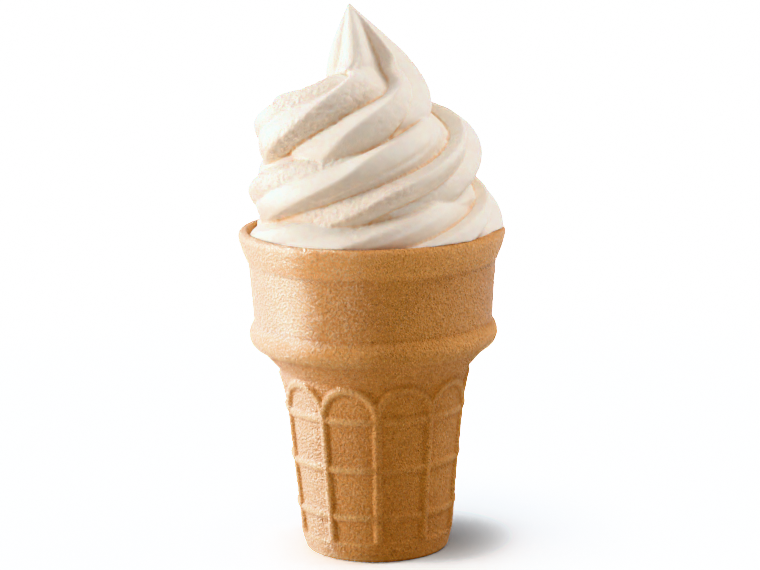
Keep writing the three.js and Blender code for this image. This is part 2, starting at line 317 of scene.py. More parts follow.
def sunk(piece: bpy.types.Object, rounds: int, depth: float) -> np.ndarray:
    """How far each vertex lies in a hollow, up to 1, or stands out, down to -1.

    Args:
        piece: Mesh object.
        rounds: Passes of relaxing, which set the size of hollow that counts.
        depth: Depth that gives 1.

    Returns:
        One value for each vertex.
    """
    points = mesh_points(piece)
    lifted = relaxed(points, edge_array(piece), rounds) - points
    return np.clip((lifted * mesh_normals(piece)).sum(axis=1) / depth, -1.0, 1.0)


# Shader helpers ----------------------------------------------------------------------------


def set_inputs(node: bpy.types.Node, values: dict[str, object]) -> None:
    """Set plain values on a node.

    Args:
        node: Node to set.
        values: Value of each input, by the input's name.
    """
    for name, value in values.items():
        node.inputs[name].default_value = value


@dataclass
class Wiring:
    """Places nodes in a node tree and joins them."""

    tree: bpy.types.NodeTree

    MIX_FIRST = 6  # the mix node's colour sockets share their names with its other kinds
    MIX_SECOND = 7
    MIX_RESULT = 2

    def node(self, kind: str, **settings: object) -> bpy.types.Node:
        """Add a node.

        Args:
            kind: Blender's type name of the node.
            **settings: Properties to set on it.

        Returns:
            The new node.
        """
        made = self.tree.nodes.new(kind)
        for key, value in settings.items():
            setattr(made, key, value)
        return made

    def join(self, source: bpy.types.NodeSocket, target: bpy.types.NodeSocket) -> None:
        """Link one socket to another."""
        self.tree.links.new(source, target)

    def feed(self, value: object, target: bpy.types.NodeSocket) -> None:
        """Link a socket to the target, or set the target to a plain value.

        Args:
            value: Socket, number or colour.
            target: Input socket.
        """
        if isinstance(value, bpy.types.NodeSocket):
            self.join(value, target)
        else:
            target.default_value = value

    def math(self, operation: str, *values: object) -> bpy.types.NodeSocket:
        """Add a math node.

        Args:
            operation: Blender's name of the operation.
            *values: Sockets or numbers for its inputs.

        Returns:
            Its output socket.
        """
        made = self.node("ShaderNodeMath", operation=operation)
        for value, target in zip(values, made.inputs):
            self.feed(value, target)
        return made.outputs[0]

    def vector(self, operation: str, *values: object) -> bpy.types.Node:
        """Add a vector math node.

        Args:
            operation: Blender's name of the operation.
            *values: Sockets or triples for its inputs.

        Returns:
            The new node.
        """
        made = self.node("ShaderNodeVectorMath", operation=operation)
        for value, target in zip(values, made.inputs):
            self.feed(value, target)
        return made

    def ramp(self, value: bpy.types.NodeSocket, low: float, high: float) -> bpy.types.NodeSocket:
        """Ease a value from 0 at ``low`` to 1 at ``high``.

        Args:
            value: Socket to ease.
            low: Value that gives 0.
            high: Value that gives 1.

        Returns:
            The eased value's socket.
        """
        made = self.node("ShaderNodeMapRange", interpolation_type="SMOOTHSTEP")
        self.join(value, made.inputs["Value"])
        made.inputs["From Min"].default_value = low
        made.inputs["From Max"].default_value = high
        return made.outputs["Result"]

    def mix(self, share: object, first: object, second: object) -> bpy.types.NodeSocket:
        """Mix two colours.

        Args:
            share: Share of the second colour.
            first: Colour or socket.
            second: Colour or socket.

        Returns:
            The mixed colour's socket.
        """
        made = self.node("ShaderNodeMix", data_type="RGBA")
        self.feed(share, made.inputs["Factor"])
        self.feed(first, made.inputs[self.MIX_FIRST])
        self.feed(second, made.inputs[self.MIX_SECOND])
        return made.outputs[self.MIX_RESULT]

    def tinted(self, colour: object, *layers: tuple[object, float, Colour]) -> object:
        """Lay tints over a colour, one after another.

        Args:
            colour: Colour or socket to start from.
            *layers: Mask, strength and colour of each tint.

        Returns:
            The last colour's socket.
        """
        for mask, strength, tint in layers:
            colour = self.mix(self.math("MULTIPLY", mask, strength), colour, tint)
        return colour

    def noise(self, place: bpy.types.NodeSocket, scale: object, detail: float) -> bpy.types.NodeSocket:
        """Add a noise texture.

        Args:
            place: Coordinates.
            scale: Features per metre, or a socket that gives them.
            detail: Number of finer layers.

        Returns:
            Socket of the noise value, from 0 to 1.
        """
        made = self.node("ShaderNodeTexNoise")
        made.inputs["Detail"].default_value = detail
        self.feed(scale, made.inputs["Scale"])
        self.join(place, made.inputs["Vector"])
        return made.outputs["Fac"]

    def mask(self, name: str) -> bpy.types.NodeSocket:
        """Socket of a mask stored on the mesh."""
        return self.node("ShaderNodeAttribute", attribute_name=name).outputs["Fac"]

    def bump(self, height: bpy.types.NodeSocket, distance: float) -> bpy.types.NodeSocket:
        """Add a bump node.

        Args:
            height: Height over the surface, from 0 to 1.
            distance: What a height of 1 stands for, in metres.

        Returns:
            Socket of the bumped normal.
        """
        made = self.node("ShaderNodeBump")
        set_inputs(made, {"Strength": 1.0, "Distance": distance})
        self.join(height, made.inputs["Height"])
        return made.outputs["Normal"]


def new_material(name: str) -> tuple[bpy.types.Material, Wiring, bpy.types.Node]:
    """Make a material.

    Args:
        name: Name of the material.

    Returns:
        The material, its wiring and its Principled shader.
    """
    made = bpy.data.materials.new(name)
    made.use_nodes = True
    return made, Wiring(made.node_tree), made.node_tree.nodes["Principled BSDF"]


class GrainGroup:
    """Shared node group: a pebbled surface with pores, as a height and three masks."""

    NAME = "Pebbled Grain"
    INPUTS = {"Pebble Scale": 900.0, "Pore Scale": 1500.0, "Pore Share": 0.3}
    OUTPUTS = ("Height", "Pores", "Blotches", "Specks")
    PEBBLE_LAYERS = 3.0
    PORE_DEPTH = 0.45
    BLOTCHES_PER_METRE = 70.0
    BLOTCH_LAYERS = 4.0

    def __init__(self) -> None:
        """Build the node group once."""
        self.tree = bpy.data.node_groups.new(self.NAME, "ShaderNodeTree")
        self._sockets()
        self._nodes()

    def _sockets(self) -> None:
        """Name the group's inputs and outputs."""
        ports = self.tree.interface
        for name, start in self.INPUTS.items():
            ports.new_socket(name, in_out="INPUT", socket_type="NodeSocketFloat").default_value = start
        for name in self.OUTPUTS:
            ports.new_socket(name, in_out="OUTPUT", socket_type="NodeSocketFloat")

    def _nodes(self) -> None:
        """Wire pebbles, pores, slow blotches and fine specks."""
        wiring = Wiring(self.tree)
        source = wiring.node("NodeGroupInput")
        target = wiring.node("NodeGroupOutput")
        place = wiring.node("ShaderNodeTexCoord").outputs["Object"]
        pebbles = wiring.noise(place, source.outputs["Pebble Scale"], self.PEBBLE_LAYERS)
        cells = wiring.node("ShaderNodeTexVoronoi", feature="F1")
        wiring.join(place, cells.inputs["Vector"])
        wiring.join(source.outputs["Pore Scale"], cells.inputs["Scale"])
        across = wiring.math("DIVIDE", cells.outputs["Distance"], source.outputs["Pore Share"])
        pores = wiring.math("MAXIMUM", wiring.math("SUBTRACT", 1.0, across), 0.0)
        dip = wiring.math("MULTIPLY", pores, self.PORE_DEPTH)
        wiring.join(wiring.math("SUBTRACT", pebbles, dip), target.inputs["Height"])
        wiring.join(pores, target.inputs["Pores"])
        blotches = wiring.noise(place, self.BLOTCHES_PER_METRE, self.BLOTCH_LAYERS)
        wiring.join(blotches, target.inputs["Blotches"])
        wiring.join(wiring.noise(place, source.outputs["Pebble Scale"], 0.0), target.inputs["Specks"])

    def place(self, wiring: Wiring, pebble: float, pore: float, share: float) -> bpy.types.Node:
        """Put the group in a material.

        Args:
            wiring: The material's wiring.
            pebble: Pebbles per metre.
            pore: Pores per metre.
            share: Size of a pore as a share of its cell.

        Returns:
            The group node.
        """
        made = wiring.node("ShaderNodeGroup", node_tree=self.tree)
        set_inputs(made, {"Pebble Scale": pebble, "Pore Scale": pore, "Pore Share": share})
        return made


@dataclass(frozen=True)
class WaferFinish:
    """Baked wafer: golden, dry and pebbled.

    It is browner in its pores. Painted shade darkens its hollows, painted highlights lighten its ridges
    on the lit side and the crown of its bead, painted light from below lightens its lip, and painted
    glints speck its lit side. Its crumbs are smoother than the rest.
    """

    golden: Colour = (0.83, 0.372, 0.1, 1.0)
    toasted: Colour = (0.69, 0.276, 0.078, 1.0)
    pale: Colour = (1.0, 0.62, 0.25, 1.0)
    honey: Colour = (1.0, 0.466, 0.135, 1.0)
    glint_speck: Colour = (1.0, 0.83, 0.58, 1.0)
    pebbles_per_metre: float = 2100.0
    pores_per_metre: float = 1100.0
    pore_share: float = 0.3

    blotch_span: Span = (0.38, 0.66)
    crumb_span: Span = (0.52, 0.66)
    pit_span: Span = (0.48, 0.34)
    glint_speck_span: Span = (0.5, 0.6)
    blotch_strength: float = 0.4
    hollow_shade_strength: float = 0.25
    pore_strength: float = 0.35
    ridge_highlight_strength: float = 0.5
    lip_bead_light_strength: float = 0.86
    crumb_strength: float = 0.12
    pit_strength: float = 0.08
    glint_speck_strength: float = 0.2

    roughness: float = 0.5
    stem_roughness: float = 0.7
    crumb_smoothness: float = 0.24
    bump_height: float = 1.1 * MM
    sheen: float = 0.1
    sheen_roughness: float = 0.5
    specular: float = 0.5
    glow: float = 0.12
    glow_reach: Triple = (1.0, 0.45, 0.15)
    glow_depth: float = 0.8 * MM

    def material(self, grain: GrainGroup) -> bpy.types.Material:
        """Build the material.

        Args:
            grain: Shared grain group.

        Returns:
            The new material.
        """
        made, wiring, shader = new_material("baked_wafer")
        pebbled = grain.place(wiring, self.pebbles_per_metre, self.pores_per_metre, self.pore_share)
        specks = pebbled.outputs["Specks"]
        crumb = wiring.ramp(specks, *self.crumb_span)
        # painted glints: pale specks on the lit side
        speck_glints = wiring.math("MULTIPLY", wiring.ramp(specks, *self.glint_speck_span), wiring.mask("lit_side"))
        colour = wiring.tinted(
            self.golden,
            (wiring.ramp(pebbled.outputs["Blotches"], *self.blotch_span), self.blotch_strength, self.toasted),
            # painted shade: a toasted tint in the hollows
            (wiring.mask("hollow"), self.hollow_shade_strength, self.toasted),
            (pebbled.outputs["Pores"], self.pore_strength, self.toasted),
            # painted highlight: raised ribs and hoops lightened, most on the lit side
            (wiring.mask("raised"), self.ridge_highlight_strength, self.pale),
            # painted light from below on the lip, and a painted highlight on the bead's crown
            (wiring.mask("lip_bead_light"), self.lip_bead_light_strength, self.honey),
            (crumb, self.crumb_strength, self.pale),
            (wiring.ramp(specks, *self.pit_span), self.pit_strength, self.toasted),
            # painted glints: pale specks on the lit side
            (speck_glints, self.glint_speck_strength, self.glint_speck),
        )
        wiring.join(colour, shader.inputs["Base Color"])
        smoother = self.roughness - self.stem_roughness
        rough = wiring.math("MULTIPLY_ADD", wiring.mask("collar"), smoother, self.stem_roughness)
        rough = wiring.math("MULTIPLY_ADD", crumb, -self.crumb_smoothness, rough)
        wiring.join(rough, shader.inputs["Roughness"])
        wiring.join(wiring.bump(pebbled.outputs["Height"], self.bump_height), shader.inputs["Normal"])
        set_inputs(shader, {
            "Sheen Weight": self.sheen,
            "Sheen Roughness": self.sheen_roughness,
            "Specular IOR Level": self.specular,
            "Subsurface Weight": self.glow,
            "Subsurface Radius": self.glow_reach,
            "Subsurface Scale": self.glow_depth,
        })
        return made


@dataclass(frozen=True)
class CreamFinish:
    """Frozen cream: warm white, satin and translucent, with icy grain where it tore.

    Painted shade deepens its colour in its creases and on its undersides.
    """

    cream: Colour = (0.93, 0.868, 0.78, 1.0)
    crease: Colour = (0.82, 0.48, 0.19, 1.0)
    shaded: Colour = (0.64, 0.46, 0.29, 1.0)
    pebbles_per_metre: float = 1300.0
    pores_per_metre: float = 900.0
    pore_share: float = 0.3

    blotch_span: Span = (0.35, 0.7)
    crease_shade_span: Span = (0.18, 0.85)
    blotch_strength: float = 0.05
    torn_strength: float = 0.1
    # Painted shade on undersides and in creases.
    underside_shade_strength: float = 0.46
    crease_shade_strength: float = 0.75

    roughness: float = 0.42
    torn_roughness: float = 0.15
    bump_height: float = 0.16 * MM
    bump_share: float = 0.25
    torn_bump_share: float = 0.8
    specular: float = 0.05
    glow: float = 0.5
    glow_reach: Triple = (1.0, 0.62, 0.38)
    glow_depth: float = 0.9 * MM

    def material(self, grain: GrainGroup) -> bpy.types.Material:
        """Build the material.

        Args:
            grain: Shared grain group.

        Returns:
            The new material.
        """
        made, wiring, shader = new_material("frozen_cream")
        icy = grain.place(wiring, self.pebbles_per_metre, self.pores_per_metre, self.pore_share)
        torn = wiring.mask("torn")
        blotch = wiring.ramp(icy.outputs["Blotches"], *self.blotch_span)
        blotch = wiring.math("MULTIPLY", blotch, self.blotch_strength)
        uneven = wiring.math("MULTIPLY_ADD", torn, self.torn_strength, blotch)
        colour = wiring.tinted(
            wiring.mix(uneven, self.cream, self.crease),
            # painted shade on undersides
            (wiring.mask("underside_shade"), self.underside_shade_strength, self.shaded),
            # painted shade: the crease colour in hollows
            (wiring.ramp(wiring.mask("hollow"), *self.crease_shade_span), self.crease_shade_strength, self.crease),
        )
        wiring.join(colour, shader.inputs["Base Color"])
        rough = wiring.math("MULTIPLY_ADD", torn, self.torn_roughness, self.roughness)
        wiring.join(rough, shader.inputs["Roughness"])
        strength = wiring.math("MULTIPLY_ADD", torn, self.torn_bump_share, self.bump_share)
        lifted = wiring.math("MULTIPLY", icy.outputs["Height"], strength)
        wiring.join(wiring.bump(lifted, self.bump_height), shader.inputs["Normal"])
        set_inputs(shader, {
            "Specular IOR Level": self.specular,
            "Subsurface Weight": self.glow,
            "Subsurface Radius": self.glow_reach,
            "Subsurface Scale": self.glow_depth,
        })
        return made


# Wafer -------------------------------------------------------------------------------------


@dataclass
class WaferCone:
    """The wafer shell: arcaded stem, shoulder, bead, collar, flared lip and hollow inside.

    Heights and radii are the outer face's, in metres, from the flat underside upward.
    """

    wall: float = 2.0 * MM
    columns: int = 560
    row_spacing: float = 0.35 * MM
    inner_spacing: float = 1.2 * MM
    rim_rows: int = 3
    corner_softness: float = 0.22 * MM

    base_radius: float = 16.9 * MM
    base_corner: float = 1.1 * MM
    stem_foot_radius: float = 17.05 * MM
    stem_top_radius: float = 21.3 * MM
    stem_top: float = 41.0 * MM
    foot_band_top: float = 4.7 * MM
    foot_band_raise: float = 0.3 * MM
    foot_band_slope: float = 0.4 * MM

    shoulder_low: Ring = (22.05 * MM, 43.2 * MM)
    shoulder_high: Ring = (26.1 * MM, 47.7 * MM)
    bead_radius: float = 26.3 * MM
    bead_height: float = 51.6 * MM
    bead_bulge: float = 2.75 * MM
    bead_half_height: float = 3.4 * MM
    bead_turn: Span = (-75.0, 62.0)
    bead_points: int = 17
    corner_points: int = 7
    collar_low: Ring = (27.85 * MM, 54.9 * MM)
    collar_high: Ring = (28.85 * MM, 68.6 * MM)
    lip_low: Ring = (29.25 * MM, 69.1 * MM)
    lip_middle: Ring = (30.3 * MM, 71.8 * MM)
    lip_high: Ring = (31.0 * MM, 74.2 * MM)
    lip_widest: Ring = (31.1 * MM, 75.0 * MM)
    rim_top: float = 76.1 * MM
    rim_outer_edge: float = 30.4 * MM
    rim_inner_edge: float = 29.1 * MM
    rim_inner_step: Ring = (0.15 * MM, 0.5 * MM)
    cavity_lip: Ring = (28.3 * MM, 71.5 * MM)
    cavity_collar: Ring = (26.9 * MM, 67.0 * MM)
    cavity_shoulder: Ring = (1.1, 0.6)  # in and up from the outer shoulder, in walls

    arches: int = 10
    first_rib: float = math.radians(-89.0)
    rib_width: float = 2.4 * MM
    rib_raise: float = 0.8 * MM
    rib_foot: Span = (-0.2 * MM, 0.8 * MM)  # from the foot band's top
    spring_height: float = 35.3 * MM
    hoop_heights: tuple[float, ...] = (11.1 * MM, 22.7 * MM, 34.4 * MM)
    hoop_width: float = 2.4 * MM
    hoop_raise: float = 0.56 * MM
    relief_end: Span = (0.4 * MM, 1.2 * MM)  # above the shoulder's foot
    bar_flat: float = 0.1  # share of a bar's width, to either side of its middle

    pebble_size: float = 0.8 * MM
    pebble_depth: float = 0.035 * MM
    warp_size: float = 18.0 * MM
    warp_depth: float = 0.12 * MM
    true_foot: Span = (0.4 * MM, 3.0 * MM)
    true_rim: float = 1.5 * MM
    grain: Grain = field(default_factory=lambda: Grain(seed=11))

    edge_depth: float = 0.12 * MM
    hollow_rounds: int = 12
    raised_rounds: int = 14
    collar_start: Span = (-2.0 * MM, 1.0 * MM)  # from the bead's top
    # Painted light from below on the lip and a painted highlight on the bead's crown.
    lip_light: float = 1.0
    lip_light_rise: float = 0.6 * MM
    bead_highlight: float = 1.25
    bead_highlight_crown: Span = (0.2, 0.42)  # height and reach, in the bead's half heights
    # Lit side, which takes the painted highlights and glints: most on the left, some at the right edge.
    lit_side_left: Span = (3.0 * MM, -6.0 * MM)
    lit_side_right: Span = (12.0 * MM, 20.0 * MM)
    lit_side_right_share: float = 0.5
    lit_side_least: float = 0.15

    def panel_radius(self, height: np.ndarray) -> np.ndarray:
        """Radius of the stem's panel face at each height."""
        slope = (self.stem_top_radius - self.stem_foot_radius) / self.stem_top
        return self.stem_foot_radius + slope * np.asarray(height)

    @staticmethod
    def _arc(centre: Ring, reach: Ring, turn: Span, count: int) -> list[Ring]:
        """Points on a rounded stretch of a profile.

        Args:
            centre: Its centre.
            reach: How far it bulges outward and upward.
            turn: Angles of its first and last point, in degrees from straight outward.
            count: Number of points.

        Returns:
            The points, in order.
        """
        turns = np.radians(np.linspace(*turn, count))
        return [(centre[0] + reach[0] * math.cos(a), centre[1] + reach[1] * math.sin(a)) for a in turns]

    def outer_corners(self) -> list[Ring]:
        """Corners of the outer profile.

        Returns:
            The corners, from the foot to the rim.
        """
        foot = (self.base_radius - self.base_corner, self.base_corner)
        band = float(self.panel_radius(self.foot_band_top))
        bead = (self.bead_radius, self.bead_height)
        bulge = (self.bead_bulge, self.bead_half_height)
        rim = (self.rim_outer_edge, self.lip_widest[1])
        roll = (self.lip_widest[0] - self.rim_outer_edge, self.rim_top - self.lip_widest[1])
        return [
            *self._arc(foot, (self.base_corner, self.base_corner), (-90.0, 0.0), self.corner_points),
            (band + self.foot_band_raise, self.foot_band_top),
            (band, self.foot_band_top + self.foot_band_slope),
            (self.stem_top_radius, self.stem_top),
            self.shoulder_low,
            self.shoulder_high,
            *self._arc(bead, bulge, self.bead_turn, self.bead_points),
            self.collar_low,
            self.collar_high,
            self.lip_low,
            self.lip_middle,
            self.lip_high,
            *self._arc(rim, roll, (0.0, 90.0), self.corner_points),
        ]

    def inner_corners(self) -> list[Ring]:
        """Corners of the inner profile.

        Returns:
            The corners, from the rim down to the floor.
        """
        inward, upward = self.cavity_shoulder
        return [
            (self.rim_inner_edge, self.rim_top),
            (self.rim_inner_edge - self.rim_inner_step[0], self.rim_top - self.rim_inner_step[1]),
            self.cavity_lip,
            self.cavity_collar,
            (self.collar_low[0] - self.wall, self.collar_low[1]),
            (self.shoulder_high[0] - inward * self.wall, self.shoulder_high[1] + upward * self.wall),
            (float(self.panel_radius(self.stem_top)) - self.wall, self.stem_top),
            (float(self.panel_radius(self.wall)) - self.wall, self.wall),
        ]

    def _profile(self, corners: list[Ring], spacing: float) -> np.ndarray:
        """Evenly spaced points along a profile, with its corners softened.

        Args:
            corners: Corners of the profile.
            spacing: Distance between points.

        Returns:
            Array of shape (n, 2).
        """
        line = np.array(corners)
        steps = np.linalg.norm(np.diff(line, axis=0), axis=1)
        along = np.concatenate([[0.0], np.cumsum(steps)])
        samples = 6
        fine = self.corner_softness / samples
        at = np.linspace(0.0, along[-1], max(int(along[-1] / fine), 2))
        dense = np.stack([np.interp(at, along, line[:, i]) for i in range(2)], axis=1)
        reach = 3 * samples
        kernel = np.exp(-0.5 * (np.arange(-reach, reach + 1) / samples) ** 2)
        kernel /= kernel.sum()
        before = 2 * dense[:1] - dense[reach:0:-1]
        after = 2 * dense[-1:] - dense[-2 : -reach - 2 : -1]
        padded = np.concatenate([before, dense, after])
        soft = np.stack([np.convolve(padded[:, i], kernel, "valid") for i in range(2)], axis=1)
        even = np.linspace(0.0, at[-1], max(int(along[-1] / spacing), 2))
        return np.stack([np.interp(even, at, soft[:, i]) for i in range(2)], axis=1)

    def arch_radius(self) -> float:
        """Radius of an arch, from its centre to the middle of its rib."""
        return math.pi * float(self.panel_radius(self.spring_height)) / self.arches

    def _bar(self, distance: np.ndarray, width: float) -> np.ndarray:
        """Cross-section of a rounded raised bar: 1 in the middle and 0 at its edge."""
        return np.sqrt(1.0 - smoothstep(self.bar_flat * width, 0.5 * width, np.abs(distance)))

    def relief(self, angle: np.ndarray, height: np.ndarray) -> np.ndarray:
        """How far the ribs, arches and hoops stand out from the stem's panels.

        Args:
            angle: Angle about +Z of each point.
            height: Height of each point.

        Returns:
            Raise at each point, in metres.
        """
        pitch = 2 * math.pi / self.arches
        turn = (angle - self.first_rib) / pitch
        from_centre = (turn - np.floor(turn) - 0.5) * pitch
        across = np.abs(from_centre) * self.panel_radius(height)
        half_pitch = 0.5 * pitch * self.panel_radius(height)
        rise = height - self.spring_height
        to_arch = np.hypot(across, rise) - self.arch_radius()
        to_rib = np.where(rise < 0, half_pitch - across, to_arch)
        raised = self._bar(to_rib, self.rib_width) * self.rib_raise
        foot, full = self.rib_foot
        raised *= smoothstep(self.foot_band_top + foot, self.foot_band_top + full, height)
        for hoop in self.hoop_heights:
            raised = np.maximum(raised, self._bar(height - hoop, self.hoop_width) * self.hoop_raise)
        return raised

    def build(self) -> bpy.types.Object:
        """Build the shell, with its relief and baked unevenness.

        Returns:
            The wafer's mesh object.
        """
        outer = self._profile(self.outer_corners(), self.row_spacing)
        inner = self._profile(self.inner_corners(), self.inner_spacing)
        rim = np.linspace(outer[-1], inner[0], self.rim_rows + 2)[1:-1]
        profile = np.concatenate([outer, rim, inner])
        turn = np.linspace(0, 2 * math.pi, self.columns, endpoint=False)
        angle = np.tile(turn, (len(profile), 1))
        radius, height = (profile[:, i : i + 1].repeat(self.columns, axis=1) for i in range(2))
        is_outer = (np.arange(len(profile)) < len(outer))[:, None].repeat(self.columns, axis=1)
        full, gone = (self.shoulder_low[1] + above for above in self.relief_end)
        raised = np.where(is_outer & (height < gone), self.relief(angle, height), 0.0)
        radius += raised * smoothstep(gone, full, height)
        points = np.stack([radius * np.cos(angle), radius * np.sin(angle), height], axis=-1)
        points = self._unevenness(points.reshape(-1, 3), is_outer.ravel()).reshape(points.shape)
        piece = mesh_object("wafer_cone_shell", *closed_tube(points, (0, 0, 0), (0, 0, self.wall)))
        self._store_masks(piece)
        return piece

    def _store_masks(self, piece: bpy.types.Object) -> None:
        """Store the hollows, the raised ridges on the lit side, the painted light on the lip and bead, the
        collar above the bead and the painted glint weight.

        Args:
            piece: The shell.
        """
        lit_side, collar = self._lit_side(piece), self._collar(piece)
        raised = np.maximum(-sunk(piece, self.raised_rounds, self.edge_depth), 0.0)
        set_mask(piece, "hollow", sunk(piece, self.hollow_rounds, self.edge_depth))
        # painted highlight weight: raised ridges on the lit side
        set_mask(piece, "raised", raised * lit_side)
        # painted light on the lip and painted highlight on the bead's crown
        set_mask(piece, "lip_bead_light", self._lip_bead_light(piece, lit_side))
        set_mask(piece, "collar", collar)
        # painted glint weight: the lit side, less on the stem
        set_mask(piece, "lit_side", lit_side**2 * (1.0 + collar) / 2.0)

    def _unevenness(self, points: np.ndarray, outer: np.ndarray) -> np.ndarray:
        """Push the outer face in and out a little, as baking does.

        Args:
            points: Positions of shape (n, 3).
            outer: True where the point lies on the outer face.

        Returns:
            The moved positions.
        """
        away = points * np.array([1.0, 1.0, 0.0])
        away /= np.maximum(np.linalg.norm(away, axis=1, keepdims=True), TINY)
        height = points[:, 2]
        free = smoothstep(*self.true_foot, height)
        free *= smoothstep(self.rim_top, self.rim_top - self.true_rim, height)
        push = self.grain.at(points, self.warp_size) * self.warp_depth
        push += self.grain.layered(points, self.pebble_size) * self.pebble_depth
        return points + away * (push * free * outer)[:, None]

    def _collar(self, piece: bpy.types.Object) -> np.ndarray:
        """0 on the stem, shoulder and bead, 1 on the collar and the lip."""
        start, full = (self.bead_height + self.bead_half_height + above for above in self.collar_start)
        return smoothstep(start, full, mesh_points(piece)[:, 2])

    def _lip_bead_light(self, piece: bpy.types.Object, lit_side: np.ndarray) -> np.ndarray:
        """How much painted light from below falls on the lip, and painted highlight on the bead's crown.

        Args:
            piece: The shell.
            lit_side: How much each vertex lies on the lit side.

        Returns:
            One value for each vertex.
        """
        height = mesh_points(piece)[:, 2]
        lip = smoothstep(self.collar_high[1], self.lip_low[1] + self.lip_light_rise, height)
        crown, reach = (share * self.bead_half_height for share in self.bead_highlight_crown)
        bead = np.exp(-(((height - self.bead_height - crown) / reach) ** 2))
        return np.maximum(self.lip_light * lip, self.bead_highlight * bead * lit_side)

    def _lit_side(self, piece: bpy.types.Object) -> np.ndarray:
        """The lit side, which takes painted highlights and glints: most on the left and some at the right
        edge.

        Args:
            piece: The shell.

        Returns:
            One value for each vertex, from 0 to 1.
        """
        across = mesh_points(piece)[:, 0]
        left = smoothstep(*self.lit_side_left, across)
        right = smoothstep(*self.lit_side_right, across) * self.lit_side_right_share
        return self.lit_side_least + (1.0 - self.lit_side_least) * np.maximum(left, right)


# Soft serve --------------------------------------------------------------------------------


STAR_LOBES = 6
STAR_LAPS = (0.0, 0.25, 0.38, 0.5, 1.0, 1.2, 1.27, 1.35, 1.5, 2.0, 2.1, 2.2, 2.35, 2.5, 2.65, 3.0)


@dataclass(frozen=True)
class Lobe:
    """One lobe of the star at each of STAR_LAPS.

    The valley before the lobe is an angle in degrees and a depth as a share of the reach. The
    crest starts and ends at shares of the way from that valley to the next one, and its crown
    is its own share of the reach.
    """

    valley: tuple[float, ...]
    crest_start: tuple[float, ...]
    crest_end: tuple[float, ...]
    depth: tuple[float, ...]
    crown: tuple[float, ...]


def _level(value: float) -> tuple[float, ...]:
    """The same value at all of STAR_LAPS."""
    return (value,) * len(STAR_LAPS)


@dataclass(frozen=True)
class Fold:
    """A low ridge, or a groove where the height is negative, that runs along the rope.

    Its path is a row of laps and the places within the star, counted in lobes, that it passes.
    The width is in lobes and the height a share of the reach.
    """

    laps: tuple[float, ...]
    places: tuple[float, ...]
    width: float
    height: float


@dataclass(frozen=True)
class Patch:
    """A stretch of torn, icy skin: its laps, its places within the star and its strength."""

    laps: Span
    places: Span
    strength: float


STAR = (
    Lobe(
        (4, 4, 13, 30, 6, 4, 6, 12, 18, -8, -27, -24, 2, 18, 33, 40),
        (0.29, 0.21, 0.22, 0.36, 0.35, 0.32, 0.21, 0.20, 0.32, 0.44, 0.42, 0.27, 0.24, 0.42, 0.48, 0.38),
        (0.79, 0.86, 0.76, 0.64, 0.81, 0.78, 0.58, 0.42, 0.40, 0.80, 0.80, 0.78, 0.71, 0.50, 0.52, 0.45),
        (0.30, 0.34, 0.34, 0.34, 0.34, 0.38, 0.41, 0.47, 0.47, 0.36, 0.36, 0.38, 0.44, 0.47, 0.46, 0.38),
        (1.00, 1.00, 1.00, 1.00, 1.06, 1.08, 1.05, 1.00, 1.00, 1.12, 1.14, 1.06, 1.00, 1.00, 1.00, 1.00),
    ),
    Lobe(
        (60, 60, 54, 52, 60, 60, 59, 58, 46, 55, 52, 50, 44, 42, 58, 72),
        _level(0.45),
        _level(0.55),
        (0.22, 0.22, 0.24, 0.24, 0.22, 0.22, 0.23, 0.24, 0.25, 0.22, 0.22, 0.22, 0.29, 0.29, 0.24, 0.22),
        _level(1.0),
    ),
    Lobe(
        (125, 125, 120, 118, 122, 120, 119, 118, 116, 115, 115, 115, 112, 110, 120, 135),
        _level(0.5),
        _level(0.5),
        _level(0.22),
        _level(1.0),
    ),
    Lobe(
        (185, 185, 185, 185, 182, 180, 180, 180, 180, 175, 175, 175, 175, 175, 180, 195),
        _level(0.5),
        _level(0.5),
        _level(0.22),
        _level(1.0),
    ),
    Lobe(
        (240, 240, 240, 240, 240, 240, 240, 240, 238, 228, 226, 235, 235, 228, 228, 240),
        _level(0.5),
        _level(0.5),
        _level(0.20),
        (0.97, 0.86, 0.86, 0.92, 0.97, 0.82, 0.80, 0.80, 0.88, 1.00, 1.00, 1.00, 1.00, 1.03, 1.04, 1.00),
    ),
    Lobe(
        (298, 298, 292, 290, 298, 299, 292, 286, 284, 276, 277, 292, 294, 286, 295, 306),
        (0.55, 0.48, 0.53, 0.55, 0.56, 0.48, 0.34, 0.40, 0.50, 0.57, 0.63, 0.32, 0.29, 0.40, 0.46, 0.42),
        (0.55, 0.48, 0.53, 0.55, 0.56, 0.48, 0.34, 0.40, 0.50, 0.57, 0.63, 0.32, 0.29, 0.40, 0.46, 0.42),
        (0.16, 0.20, 0.18, 0.16, 0.15, 0.20, 0.19, 0.18, 0.15, 0.15, 0.15, 0.15, 0.15, 0.19, 0.27, 0.26),
        (1.00, 1.00, 1.00, 1.00, 1.00, 1.00, 1.02, 1.07, 1.07, 1.00, 1.00, 1.00, 1.00, 1.00, 1.00, 1.00),
    ),
)

FOLDS = (
    Fold(
        (2.06, 2.12, 2.2, 2.3, 2.4, 2.5, 2.7, 2.9),
        (5.9, 5.76, 5.72, 5.66, 5.55, 5.58, 5.6, 5.57),
        0.07,
        0.035,
    ),
    Fold((2.35, 2.5, 2.7, 2.93), (5.37, 5.47, 5.52, 5.5), 0.03, -0.035),
    Fold((2.2, 2.4, 2.6, 2.95), (5.9, 5.82, 5.84, 5.82), 0.13, -0.11),
    Fold((1.12, 1.2, 1.27, 1.35, 1.43, 1.49), (5.82, 5.80, 5.75, 5.72, 5.64, 5.62), 0.04, -0.045),
    Fold((1.3, 1.4, 1.47, 1.58), (5.86, 5.84, 5.82, 5.8), 0.13, -0.08),
    Fold((0.2, 0.3, 0.42), (5.7, 5.72, 5.7), 0.06, 0.025),
)

